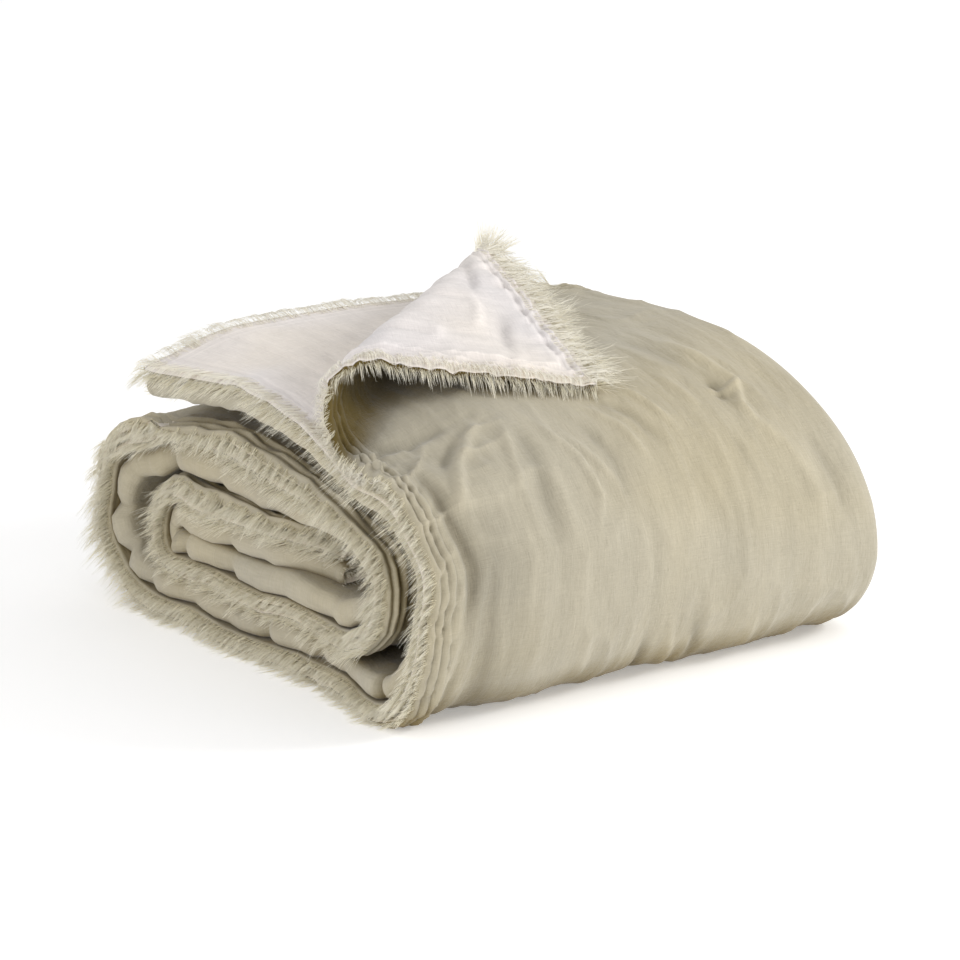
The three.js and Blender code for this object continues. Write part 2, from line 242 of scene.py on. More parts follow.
# Where the soft fold is pinched in, along the throw.
PINCHES = (0.452, 0.535, 0.590, 0.628, 0.672, 0.712, 0.752, 0.800, 0.842, 0.905)
PINCHES += (0.960, 0.995, 1.030, 1.265, 1.372, 1.418, 1.446, 1.560)


# The plies inside wrinkle less than the outer one, and stay within the gap between them.
INNER_PLY_SHARE = 0.4
INNER_PLY_ROOM = 0.0007
# No valley is deeper than this, to keep clear of the ply below.
VALLEY_LIMIT = -0.0042
VALLEY_SOFTNESS = 0.0012

# Heights of the wrinkles, in metres.
BROAD_SWELL, BROAD_RIDGE = 0.0017, 0.0018
PULL_SWELL, PULL_RIDGE = 0.0009, 0.0009
HEM_ROW_RISE = 0.0020
PUCKER_RISE = 0.0017
CRUMPLE_RISE = 0.0034
WAVE_RISE, RIPPLE_RISE = 0.0024, 0.0012
# A crease this high makes a painted highlight of 1, or as a valley a painted shade of 1, and
# the painted shade of hollows counts for more than the painted highlight of ridges.
CREASE_FULL_SHADE = 0.003
HOLLOW_SHADE_GAIN = 1.5
# Wrinkles calm down about this near the middles of the second and third folds.
FOLD_CALM_REACH = 0.022


class Wrinkles:
    """How the soft cloth departs from the even folded shape, in metres."""

    def __init__(self, depth):
        self.depth = depth
        self.hills = [SoftNoise(seed) for seed in range(12)]

    def puff(self, step, t):
        """How far the soft fold swells and comes forward, at steps of the route."""
        steps, room, advance = np.array(PUFF_ROOM).T
        pinched = sum(np.exp(-(((t - place) / 0.0055) ** 2)) for place in PINCHES)
        pinched = pinched * (0.65 + 0.45 * self.hills[5](t / 0.03, t / 0.3))
        swelling = 0.72 + 0.30 * self.hills[0](t / 0.030, t / 0.3)
        swelling = swelling + 0.16 * self.hills[7](t / 0.008, t / 0.4)
        room = np.interp(step, steps, room) * swelling * (1 - 0.9 * pinched)
        return room, np.interp(step, steps, advance) * swelling - 0.011 * pinched

    def edge_wave(self, x, t):
        """How far the plies wave together, outwards, near the fringed end."""
        wave = WAVE_RISE * self.hills[0](t / 0.042, t / 0.3)
        wave = wave + RIPPLE_RISE * self.hills[7](t / 0.018, t / 0.4)
        return self.depth * wave * (1 - smooth(0, 0.07, x)) * smooth(0.02, 0.06, t)

    def creases(self, s, t, ply):
        """Sharper creases of the outer ply, and the crumples below its turned-back corner."""
        below_corner = smooth(0.210, 0.235, t) * (1 - smooth(0.27, 0.34, t))
        below_corner = below_corner * (1 - smooth(0.05, 0.13, s))
        crumples = ridges(self.hills[11](s / 0.026 + t / 0.030, t / 0.019))
        total = CRUMPLE_RISE * crumples * below_corner
        for course, width, rise in CREASES:
            total = total + np.where(ply == 0, crease_height(s, t, course, width, rise), 0)
        return total

    def hem(self, to_edge):
        """The hem's rows of stitching, 0 in their grooves, and how far the hem counts."""
        share = 1 - smooth(HEM_WIDTH, HEM_WIDTH + 0.002, to_edge)
        return np.abs(np.sin(math.pi * np.minimum(to_edge, HEM_WIDTH) / HEM_PITCH)), share

    def pucker(self, s, t, ply, to_edge):
        """Small puckers near the cloth's edges, across the stitching."""
        cross = 0.5 * self.hills[3](s / 0.008, t / 0.008)
        cross = cross + 0.9 * self.hills[3](to_edge / 0.010, (s + t) / 0.0042)
        return np.where(ply == 0, 1.0, 0.2) * cross * (1 - smooth(0.012, 0.030, to_edge))

    def shade(self, s, t, ply, to_edge):
        """The painted highlight of ridges, above 0, or painted shade of hollows and grooves,
        below 0.
        """
        rows, share = self.hem(to_edge)
        # Painted shade in the grooves between the hem's rows of stitching.
        grooves = -0.9 * (1 - rows) ** 3 * share
        # Painted highlight on the creases' ridges and on puckers, and painted shade in their
        # valleys.
        painted_light = self.creases(s, t, ply) / CREASE_FULL_SHADE
        painted_light = painted_light + 0.55 * self.pucker(s, t, ply, to_edge)
        painted_light = np.where(painted_light < 0, HOLLOW_SHADE_GAIN * painted_light, painted_light)
        return np.clip(painted_light + grooves, -2, 2)

    def height(self, s, t, ply, to_edge, in_fold):
        """How far a point of the cloth moves towards its face."""
        hills = self.hills
        broad = BROAD_SWELL * hills[1](s / 0.06, t / 0.09)
        broad = broad + BROAD_RIDGE * ridges(hills[2](s / 0.030, t / 0.060))
        pulls = PULL_SWELL * hills[8](s / 0.013, t / 0.08)
        pulls = pulls + PULL_RIDGE * ridges(hills[9](s / 0.014, t / 0.050))
        rows, share = self.hem(to_edge)
        rows = HEM_ROW_RISE * rows * share * (0.85 + 0.3 * hills[10](s / 0.03, t / 0.03))
        puckers = PUCKER_RISE * self.pucker(s, t, ply, to_edge)
        total = broad + pulls + rows + puckers + self.creases(s, t, ply)
        inside = INNER_PLY_ROOM * np.tanh(INNER_PLY_SHARE * total / INNER_PLY_ROOM)
        total = np.where(ply == 0, total, inside)
        above = total - VALLEY_LIMIT
        total = (above + np.hypot(above, VALLEY_SOFTNESS)) / 2 + VALLEY_LIMIT
        return self.depth * total * (1 - 0.8 * in_fold)

    def sway(self, place):
        """Moves every piece of the bundle alike, so that no two come to touch."""
        x, y, z = place.T
        hills = self.hills
        off_floor = smooth(0.0, 0.05, z)
        wide = 0.0036 * hills[4](y / 0.060, z / 0.035) * (1 - smooth(-0.16, 0.10, x))
        deep = 0.0016 * hills[5](x / 0.10, z / 0.06)
        high = 0.0020 * hills[6](x / 0.09, y / 0.11) * off_floor
        top = smooth(0.126, 0.138, z)
        high = high - 0.011 * top * smooth(-0.02, 0.15, x) * smooth(0.00, 0.12, y)
        high = high - 0.012 * top * smooth(-0.100, -0.165, x) * smooth(0.02, 0.12, y)
        wide = wide - 0.006 * top * smooth(-0.100, -0.165, x) * smooth(0.02, 0.12, y)
        at_fringe = 1 - smooth(-0.150, -0.050, x)
        wide = wide - 0.007 * at_fringe * smooth(-0.08, -0.14, y)
        sag = at_fringe * np.exp(-(((y + 0.080) / 0.052) ** 2)) * smooth(0.085, 0.135, z)
        dip = at_fringe * np.exp(-(((y + 0.105) / 0.036) ** 2) - ((z - 0.165) / 0.032) ** 2)
        wide, high = wide - 0.004 * dip, high - 0.010 * sag - 0.012 * dip
        moved = place + self.depth * np.column_stack([wide, deep, high])
        moved[:, 2] = (moved[:, 2] + np.hypot(moved[:, 2], 0.0004)) / 2
        return moved


def ridges(hills):
    """Soft hills turned into narrow ridges along the lines between them."""
    return (1 - np.abs(hills)) ** 5


def crease_height(s, t, course, width, rise):
    """A ridge, or a valley where rise is negative, along a course, fading at its ends."""
    course = np.array(course)
    best, share_at = np.full_like(s, np.inf), np.zeros_like(s)
    count = len(course) - 1
    for k in range(count):
        leg = course[k + 1] - course[k]
        ds, dt = s - course[k][0], t - course[k][1]
        share = np.clip((ds * leg[0] + dt * leg[1]) / (leg @ leg), 0, 1)
        gap = np.hypot(ds - share * leg[0], dt - share * leg[1])
        nearer = gap < best
        best = np.where(nearer, gap, best)
        share_at = np.where(nearer, (k + share) / count, share_at)
    fade = smooth(0, 0.35, share_at) * smooth(1, 0.65, share_at)
    return rise * np.exp(-((best / width) ** 2)) * (0.15 + 0.85 * fade)


class FoldedThrow:
    """Places a point of the flat throw on the folded, rolled and turned-back one.

    s runs across the throw from its upper side edge, through three folds, to its lower
    side edge. t runs along it from the outer end edge to the core.
    """

    def __init__(self, width, wrinkles):
        self.width = width
        self.fringed = roll_route(ROLL_AT_FRINGED_END)
        self.folded = roll_route(ROLL_AT_FOLDED_END)
        self.last = len(self.fringed) - 1
        self.fold_x = (width - 2.5 * math.pi * PLY_PITCH) / 4
        self.fold_x += (SOFT_FOLD_SETBACK + INNER_FOLD_SETBACK) / 2
        self.bundle_width = self.fold_x + FLOOR_LEVEL
        inner_x = self.fold_x - INNER_FOLD_SETBACK
        spans = (
            self.fold_x,
            math.pi * 1.5 * PLY_PITCH,
            self.fold_x - SOFT_FOLD_SETBACK,
            math.pi * 0.5 * PLY_PITCH,
            inner_x - SOFT_FOLD_SETBACK,
            math.pi * 0.5 * PLY_PITCH,
        )
        self.bounds = np.cumsum(spans)
        steps = np.arange(self.last + 1)
        edge = self.sweep(np.zeros(len(steps)), np.full(len(steps), 1.5 * PLY_PITCH), steps)
        lengths = np.linalg.norm(np.diff(edge, axis=0), axis=1)
        self.back = np.append(np.cumsum(lengths[::-1])[::-1], 0)
        self.length = self.back[0]
        self.wrinkles = wrinkles
        self.shift = np.zeros(3)
        low = np.array(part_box("face_panel")[0])
        lap = np.linspace(0, self.length, 2000)
        skin = np.full_like(lap, 1.5 * PLY_PITCH + SKIN)
        plain = self.sweep(np.zeros_like(lap), skin, self.step_at(lap))
        self.shift = low - plain.min(axis=0)

    def frame_at(self, step, x):
        across = np.maximum(x / self.bundle_width, 0) ** ROLL_CHANGE_POWER
        low = np.clip(np.floor(step).astype(int), 0, self.last - 1)
        at = lambda i: mix(self.fringed[i], self.folded[i], across[:, None])

        def heading(i):
            way = at(np.minimum(i + 1, self.last)) - at(np.maximum(i - 1, 0))
            return way[:, :2] / np.linalg.norm(way[:, :2], axis=1)[:, None]

        share = step - low
        inside = np.clip(share, 0, 1)[:, None]
        here, there = at(low), at(low + 1)
        place = mix(here[:, :2], there[:, :2], share[:, None])
        way = mix(heading(low), heading(low + 1), inside)
        way /= np.linalg.norm(way, axis=1)[:, None]
        loft = mix(here[:, 2:], there[:, 2:], inside)
        return place, np.column_stack([-way[:, 1], way[:, 0]]), loft

    def sweep(self, x, out, step):
        place, outward, loft = self.frame_at(step, x)
        return np.column_stack([x, place + outward * out[:, None] * loft])

    def step_at(self, back):
        """The route's step number at a distance back from the outer end edge."""
        steps = np.arange(self.last + 1)
        step = np.interp(back, self.back[::-1], steps[::-1])
        first, final = self.back[0] - self.back[1], self.back[-2]
        step = np.where(back > self.back[0], (self.back[0] - back) / first, step)
        return np.where(back < 0, self.last - back / final, step)

    def profile(self, s):
        """Place across the bundle (x, out), the way that the face looks, and the ply."""
        x, out = np.empty_like(s), np.empty_like(s)
        face_x, face_out = np.zeros_like(s), np.empty_like(s)
        ply = np.searchsorted(self.bounds, s, side="right")
        run = s - np.concatenate([[0], self.bounds])[ply]
        inner_x = self.fold_x - INNER_FOLD_SETBACK
        for number, from_x, sign, level, face in (
            (0, 0, 1, 1.5, 1),
            (2, self.fold_x, -1, -1.5, -1),
            (4, SOFT_FOLD_SETBACK, 1, -0.5, 1),
            (6, inner_x, -1, 0.5, -1),
        ):
            here = ply == number
            x[here] = from_x + sign * run[here]
            out[here] = level * PLY_PITCH
            face_out[here] = face
        for number, at_x, level, radius, first, turn, face in (
            (1, self.fold_x, 0, 1.5 * PLY_PITCH, 0.5, -1, 1),
            (3, SOFT_FOLD_SETBACK, -1, 0.5 * PLY_PITCH, 1.5, -1, 1),
            (5, inner_x, 0, 0.5 * PLY_PITCH, -0.5, 1, -1),
        ):
            here = ply == number
            angle = math.pi * first + turn * run[here] / radius
            x[here] = at_x + radius * np.cos(angle)
            out[here] = level * PLY_PITCH + radius * np.sin(angle)
            face_x[here] = face * np.cos(angle)
            face_out[here] = face * np.sin(angle)
        return x, out, face_x, face_out, ply

    def soft_fold(self, x, out, ply, swell, advance):
        """Swells the fold inside the fringed end and brings it forward."""
        inside = (ply >= 2) & (ply <= 4)
        near = np.where(inside, 1 - smooth(0, 0.055, x - SOFT_FOLD_SETBACK), 0)
        upper, lower = SKIN - 0.5 * PLY_PITCH, -1.5 * PLY_PITCH - SKIN
        depth = np.clip((upper - out) / (upper - lower), 0, 1)
        return x - advance * near, out - swell * near * depth

    def turned_back(self, s, t, height):
        """Where a point of the outer ply comes to, as distances from its two edges."""
        span = np.array([CREASE_ON_END_EDGE, -CREASE_ON_SIDE_EDGE])
        crease_length = np.linalg.norm(span)
        along_way = span / crease_length
        inward_way = np.array([-along_way[1], along_way[0]])
        tip_depth = CREASE_ON_SIDE_EDGE * along_way[0]
        from_start = np.column_stack([s, t - CREASE_ON_SIDE_EDGE])
        depth = np.maximum(0, -from_start @ inward_way)
        along = np.clip(from_start @ along_way / crease_length, 0, 1)
        radius = mix(CURL_RADIUS_AT_SIDE_EDGE, CURL_RADIUS_AT_END_EDGE, along)
        radius -= CURL_NARROWER_BETWEEN * np.sin(math.pi * along)
        angle = np.minimum(depth / radius, math.pi)
        flat = tip_depth - math.pi * radius
        lying = np.maximum(depth - math.pi * radius, 0) / flat
        settled = 1 - np.maximum(1 - lying, 0) ** CURL_SETTLE_POWER
        moved = depth - (radius - height) * np.sin(angle) + lying * flat
        moved = np.where(depth > 0, moved, 0)
        place = np.column_stack([s, t]) + moved[:, None] * inward_way
        drop = settled * (2 * radius - TIP_HEIGHT)
        lifted = radius - (radius - height) * np.cos(angle) - drop
        return place[:, 0], place[:, 1], np.where(depth > 0, lifted, height)

    def shade(self, s, t, side):
        """Painted highlight, above 0, and painted shade, below 0, of a cloth; deepest inside
        the curl.
        """
        ply = self.profile(s)[-1]
        to_edge = np.minimum.reduce([s, self.width - s, t, self.length - t])
        shade = side * self.wrinkles.shade(s, t, ply, to_edge)
        if side < 0:
            return shade
        # A deep painted shadow inside the curl of the turned-back corner, on the outer ply's
        # face cloth.
        crease_length = math.hypot(CREASE_ON_END_EDGE, CREASE_ON_SIDE_EDGE)
        beyond = CREASE_ON_SIDE_EDGE * s + CREASE_ON_END_EDGE * (t - CREASE_ON_SIDE_EDGE)
        painted_curl_shadow = smooth(0.026, -0.004, beyond / crease_length) * smooth(0.17, 0.03, s)
        return shade - 5.0 * painted_curl_shadow * (ply == 0)

    def point(self, s, t, offset):
        """The place of the flat throw's point (s, t), moved towards the face by offset."""
        step = self.step_at(t)
        x, out, face_x, face_out, ply = self.profile(s)
        outer = ply == 0
        to_edge = np.minimum.reduce([s, self.width - s, t, self.length - t])
        in_fold = 0
        for first in (2, 4):
            middle = self.bounds[first : first + 2].mean()
            in_fold = in_fold + np.exp(-(((s - middle) / FOLD_CALM_REACH) ** 2))
        height = offset + self.wrinkles.height(s, t, ply, np.maximum(to_edge, 0), in_fold)
        x, out = x + face_x * height, out + face_out * height
        x, out = self.soft_fold(x, out, ply, *self.wrinkles.puff(step, t))
        turned_x, turned_t, lifted = self.turned_back(s, t, height)
        x = np.where(outer, turned_x, x)
        out = np.where(outer, 1.5 * PLY_PITCH + lifted, out)
        out = out + self.wrinkles.edge_wave(x, np.where(outer, turned_t, t))
        at_core = smooth(self.length - CORE_DRAWN_OVER, self.length, t)
        x = x + CORE_DRAWN_IN * at_core * (1 - smooth(0, 0.09, x))
        step = self.step_at(np.where(outer, turned_t, t))
        return self.wrinkles.sway(self.sweep(x, out, step) + self.shift)


# ---- The making of cloth -----------------------------------------------------------------


def spaced(stops):
    """Positions from stop to stop. Each stop is a place and the spacing up to the next."""
    places = [np.array([stops[0][0]])]
    for (start, spacing), (end, _) in zip(stops, stops[1:]):
        count = max(1, math.ceil((end - start) / spacing))
        places.append(np.linspace(start, end, count + 1)[1:])
    return np.concatenate(places)


def cloth_columns(throw, outer, lower):
    """Columns across the throw: spacing outer on the outer ply, lower on the one below."""
    outer_fold, inner_ply, soft, soft_end, lower_ply, inner_fold = throw.bounds
    return spaced(
        [
            (0, HEM_PITCH / 6),
            (HEM_WIDTH, 0.0018),
            (0.032, outer),
            (outer_fold, 0.0024 + outer / 6),
            (inner_ply, 0.014),
            (soft - 0.045, 0.004),
            (soft, 0.0011),
            (soft_end, 0.004),
            (soft_end + 0.045, 0.014),
            (lower_ply, 0.002),
            (inner_fold, lower),
            (throw.width - 0.030, 0.0026),
            (throw.width - HEM_WIDTH, HEM_PITCH / 4),
            (throw.width, 0),
        ]
    )


def cloth_rows(throw, corner, bend, front, hidden):
    """Rows along the throw: spacings on the turned-back corner, over the bend that
    follows it, down the front and inside the roll."""
    return spaced(
        [
            (0, HEM_PITCH / 4),
            (HEM_WIDTH, corner),
            (0.222, bend),
            (0.345, front),
            (0.50, 2 * front),
            (0.62, hidden),
            (throw.length - 0.02, 0.004),
            (throw.length, 0),
        ]
    )


def grid_piece(name, columns, rows, place, shade, turn_over):
    """A grid of cloth whose points are put in place by place(s, t). Its UVs are s and t,
    and shade(s, t) is kept with its points."""
    bm = bmesh.new()
    bmesh.ops.create_grid(
        bm, x_segments=len(columns) - 1, y_segments=len(rows) - 1, size=0.5
    )
    if turn_over:
        bmesh.ops.reverse_faces(bm, faces=bm.faces)
    mesh = bpy.data.meshes.new(name)
    bm.to_mesh(mesh)
    bm.free()
    flat = np.empty(3 * len(mesh.vertices))
    mesh.vertices.foreach_get("co", flat)
    share = flat.reshape(-1, 3) + 0.5
    s = np.interp(share[:, 0], np.linspace(0, 1, len(columns)), columns)
    t = np.interp(share[:, 1], np.linspace(0, 1, len(rows)), rows)
    mesh.vertices.foreach_set("co", place(s, t).ravel())
    # The painted highlight and shade, kept with the points as the shade attribute.
    mesh.attributes.new("shade", "FLOAT", "POINT").data.foreach_set("value", shade(s, t))
    corners = np.empty(len(mesh.loops), dtype=int)
    mesh.loops.foreach_get("vertex_index", corners)
    layer = mesh.uv_layers.new(name="cut")
    layer.data.foreach_set("uv", np.column_stack([s, t])[corners].ravel())
    mesh.shade_smooth()
    mesh.update()
    piece = bpy.data.objects.new(name, mesh)
    bpy.context.scene.collection.objects.link(piece)
    return piece


def cloth_piece(throw, name, side, columns, rows):
    """One of the two cloths. The two meet at every edge, where the fringe comes out."""
    def place(s, t):
        to_edge = np.minimum.reduce([s, throw.width - s, t, throw.length - t])
        inward = 1 - np.clip(to_edge / RIM, 0, 1)
        return throw.point(s, t, side * SKIN * np.sqrt(1 - inward**2))

    shade = lambda s, t: throw.shade(s, t, side)
    return grid_piece(name, columns, rows, place, shade, turn_over=side > 0)


# ---- Frayed yarn -------------------------------------------------------------------------


STRAY_SHARE, STRAY_GAIN = 0.10, 2.6
BROKEN_SHARE = 0.35
FLOOR_GAP = 0.0005


def fringe_piece(name, along, count, root_at, settings, seed, droop, reach_at, pale_to):
    """Frayed yarns along an edge. root_at(along, out, offset) is a place off that edge.
    droop and reach_at say how far yarns hang and reach along it, and yarns that lie on the
    reverse are off-white up to pale_to."""
    random = np.random.default_rng(seed)
    rings, sides = 3, 3
    columns = count * (sides + 1) - 1
    bm = bmesh.new()
    bmesh.ops.create_grid(bm, x_segments=columns, y_segments=rings - 1, size=0.5)
    between = [
        face
        for face in bm.faces
        if int((face.calc_center_median().x + 0.5) * columns) % (sides + 1) == sides
    ]
    bmesh.ops.delete(bm, geom=between, context="FACES")
    mesh = bpy.data.meshes.new(name)
    bm.to_mesh(mesh)
    bm.free()
    flat = np.empty(3 * len(mesh.vertices))
    mesh.vertices.foreach_get("co", flat)
    share = flat.reshape(-1, 3) + 0.5
    column = np.rint(share[:, 0] * columns).astype(int)
    ring = np.rint(share[:, 1] * (rings - 1)).astype(int)
    yarn, corner = column // (sides + 1), column % (sides + 1)

    at = np.sort(random.uniform(0, along, count))
    level = random.uniform(-1, 1, count)
    on_reverse = np.maximum(-level - 0.10, 0) / 0.90
    inset = on_reverse * settings.inset
    offset = np.where(on_reverse > 0, -1.10, level * 0.9) * SKIN
    root = root_at(at, -0.0012 - inset, offset)
    out = root_at(at, 0.0015 - inset, offset) - root
    edge = np.zeros(count)
    beside = root_at(at + 0.001, edge, offset) - root_at(at - 0.001, edge, offset)
    out /= np.linalg.norm(out, axis=1)[:, None]
    beside /= np.linalg.norm(beside, axis=1)[:, None]
    up = np.cross(out, beside)
    tuft = (at / settings.tuft).astype(int)
    tufts = tuft.max() + 1
    stray = np.where(random.uniform(0, 1, count) < STRAY_SHARE, STRAY_GAIN, 1.0)
    lean = random.normal(0, 0.11, tufts)[tuft] + random.normal(0, 0.08, count) * stray
    lift = random.normal(0, 0.09, tufts)[tuft] + random.normal(0, 0.09, count) * stray
    gather = ((tuft + 0.5) * settings.tuft - at) / settings.length * 0.5
    bend = random.normal(0, 0.26, (count, 2))
    broken = random.uniform(0, 1, count) < BROKEN_SHARE
    short, whole = random.uniform(0.30, 0.65, count), random.uniform(0.65, 0.95, count)
    length = settings.length * np.where(broken, short, whole)
    length *= (1 + 0.15 * random.normal(0, 1, tufts)[tuft]) * reach_at(at)
    length *= 1 + 0.30 * SoftNoise(seed)(at / 0.022, at / 0.7)
    down = np.array([0, 0, -1])
    above_reverse = -1.5 * SKIN - 0.0008 * on_reverse
    over = root_at(at + 0.6 * lean * inset, 0.30 * length - 0.002, above_reverse)
    line = [root]
    for k in range(1, rings):
        reach = k / (rings - 1)
        way = out + (lean + gather + bend[:, 0] * (reach - 0.75))[:, None] * beside
        way = way + (lift + bend[:, 1] * (reach - 0.75))[:, None] * up
        way = way + (droop(at) * reach)[:, None] * down
        way /= np.linalg.norm(way, axis=1)[:, None]
        ahead = line[-1] + way * (length / (rings - 1))[:, None]
        line.append(np.where((on_reverse > 0)[:, None] & (k == 1), over, ahead))
    line = np.array(line)
    line[:, :, 2] = np.maximum(line[:, :, 2], FLOOR_GAP)
    thick = settings.yarn / 2 * np.array([1, 0.9, 0.3])
    turn = random.uniform(0, 2 * math.pi, count)[yarn] + corner * 2 * math.pi / sides
    place = line[ring, yarn]
    place = place + (thick[ring] * np.cos(turn))[:, None] * beside[yarn]
    place = place + (thick[ring] * np.sin(turn))[:, None] * up[yarn]
    mesh.vertices.foreach_set("co", place.ravel())
    corners = np.empty(len(mesh.loops), dtype=int)
    mesh.loops.foreach_get("vertex_index", corners)
    layer = mesh.uv_layers.new(name="cut")
    uv = np.column_stack([at[yarn], ring / (rings - 1)])
    layer.data.foreach_set("uv", uv[corners].ravel())
    pale = ((on_reverse > 0) & (at < pale_to))[yarn].astype(float)
    mesh.attributes.new("pale", "FLOAT", "POINT").data.foreach_set("value", pale)
    mesh.shade_smooth()
    mesh.update()
    piece = bpy.data.objects.new(name, mesh)
    bpy.context.scene.collection.objects.link(piece)
    return piece


FIRST_YARN_SEED = 20
# For each edge: how much of the yarn it has, how far along it yarns on the reverse are
# off-white (None for all of it), and as (places along it, values) how much yarns hang and
# how far they reach.
FRINGES = {
    "upper_side": (
        1.0,
        0.24,
        ((0, 0.20, 0.25, 1.2, 1.4), (1.4, 1.4, 0.8, 0.8, 0.4)),
        ((0.19, 0.23, 0.45, 0.50), (0.80, 0.62, 0.62, 0.95)),
    ),
    "lower_side": (1.0, 0.24, ((1.2, 1.4), (0.6, 0.3)), ((0.15, 0.25), (1.2, 0.85))),
    "outer_end": (
        1.0,
        None,
        ((0.20, 0.245, 0.29, 0.32, 0.36), (0.35, -0.8, -0.7, 0.1, 0.6)),
        ((0, 0.10, 0.24, 0.27, 0.29, 0.33, 0.9, 1), (1.9, 1.5, 1.5, 2.3, 1.9, 0.6, 0.6, 1.15)),
    ),
    "core_end": (0.4, 0, ((0,), (0.2,)), ((0,), (0.22,))),
}


# ---- Materials ---------------------------------------------------------------------------


class Nodes:
    """Short ways to make and join the nodes of one material."""

    def __init__(self, name):
        self.material = bpy.data.materials.new(name)
        self.material.use_nodes = True
        self.tree = self.material.node_tree
        self.shader = self.tree.nodes["Principled BSDF"]
        self.uv = self.add("ShaderNodeUVMap", uv_map="cut").outputs["UV"]

    def add(self, kind, **settings):
        node = self.tree.nodes.new(kind)
        for key, value in settings.items():
            setattr(node, key, value)
        return node

    def join(self, value, socket):
        if isinstance(value, bpy.types.NodeSocket):
            self.tree.links.new(value, socket)
        else:
            socket.default_value = value

    def noise(self, across, along, detail=2.0, roughness=0.5, kind="FBM"):
        """Noise with hills of the given size, in metres, across and along the throw."""
        mapping = self.add("ShaderNodeMapping")
        self.join(self.uv, mapping.inputs["Vector"])
        mapping.inputs["Scale"].default_value = (1 / across, 1 / along, 1)
        noise = self.add("ShaderNodeTexNoise", noise_dimensions="2D", noise_type=kind)
        self.join(mapping.outputs["Vector"], noise.inputs["Vector"])
        noise.inputs["Scale"].default_value = 1.0
        noise.inputs["Detail"].default_value = detail
        noise.inputs["Roughness"].default_value = roughness
        return noise.outputs["Fac"]

    def math(self, operation, a, b=0.0, c=0.0):
        node = self.add("ShaderNodeMath", operation=operation)
        for value, socket in zip((a, b, c), node.inputs):
            self.join(value, socket)
        return node.outputs["Value"]

    def spread(self, value, low, high, to_low=0.0, to_high=1.0):
        node = self.add("ShaderNodeMapRange")
        for value_in, socket in zip((value, low, high, to_low, to_high), node.inputs):
            self.join(value_in, socket)
        return node.outputs["Result"]

    def blend(self, share, a, b, blend_type="MIX"):
        node = self.add("ShaderNodeMix", data_type="RGBA", blend_type=blend_type)
        self.join(share, node.inputs[0])
        self.join(a, node.inputs[6])
        self.join(b, node.inputs[7])
        return node.outputs[2]

    def bump(self, height, distance, strength, under=None):
        node = self.add("ShaderNodeBump")
        self.join(height, node.inputs["Height"])
        node.inputs["Distance"].default_value = distance
        node.inputs["Strength"].default_value = strength
        if under is not None:
            self.join(under, node.inputs["Normal"])
        return node.outputs["Normal"]


# Painted shade: what the face and reverse cloths' colours are multiplied by in narrow hollows
# and deep in the curl, how far the ambient occlusion looks, and the occlusion at which a hollow
# gets all of this painted shade or none of it.
FACE_PAINTED_SHADOW = (0.40, 0.31, 0.09)
REVERSE_PAINTED_SHADOW = (0.70, 0.63, 0.42)
HOLLOW_REACH = 0.045
HOLLOW_SHUT, HOLLOW_OPEN = 0.08, 0.60


def with_painted_shade(n, tinted, shadow, shade):
    """Painted shade, deepening and warming a colour in narrow hollows and where shade is well
    below 0.
    """
    hollow = n.add("ShaderNodeAmbientOcclusion", samples=8)
    hollow.inputs["Distance"].default_value = HOLLOW_REACH
    open_share = n.spread(hollow.outputs["AO"], HOLLOW_SHUT, HOLLOW_OPEN)
    open_share = n.math("MULTIPLY", open_share, n.spread(shade, -5.0, -1.5))
    return n.blend(open_share, n.blend(1.0, tinted, (*shadow, 1), "MULTIPLY"), tinted)


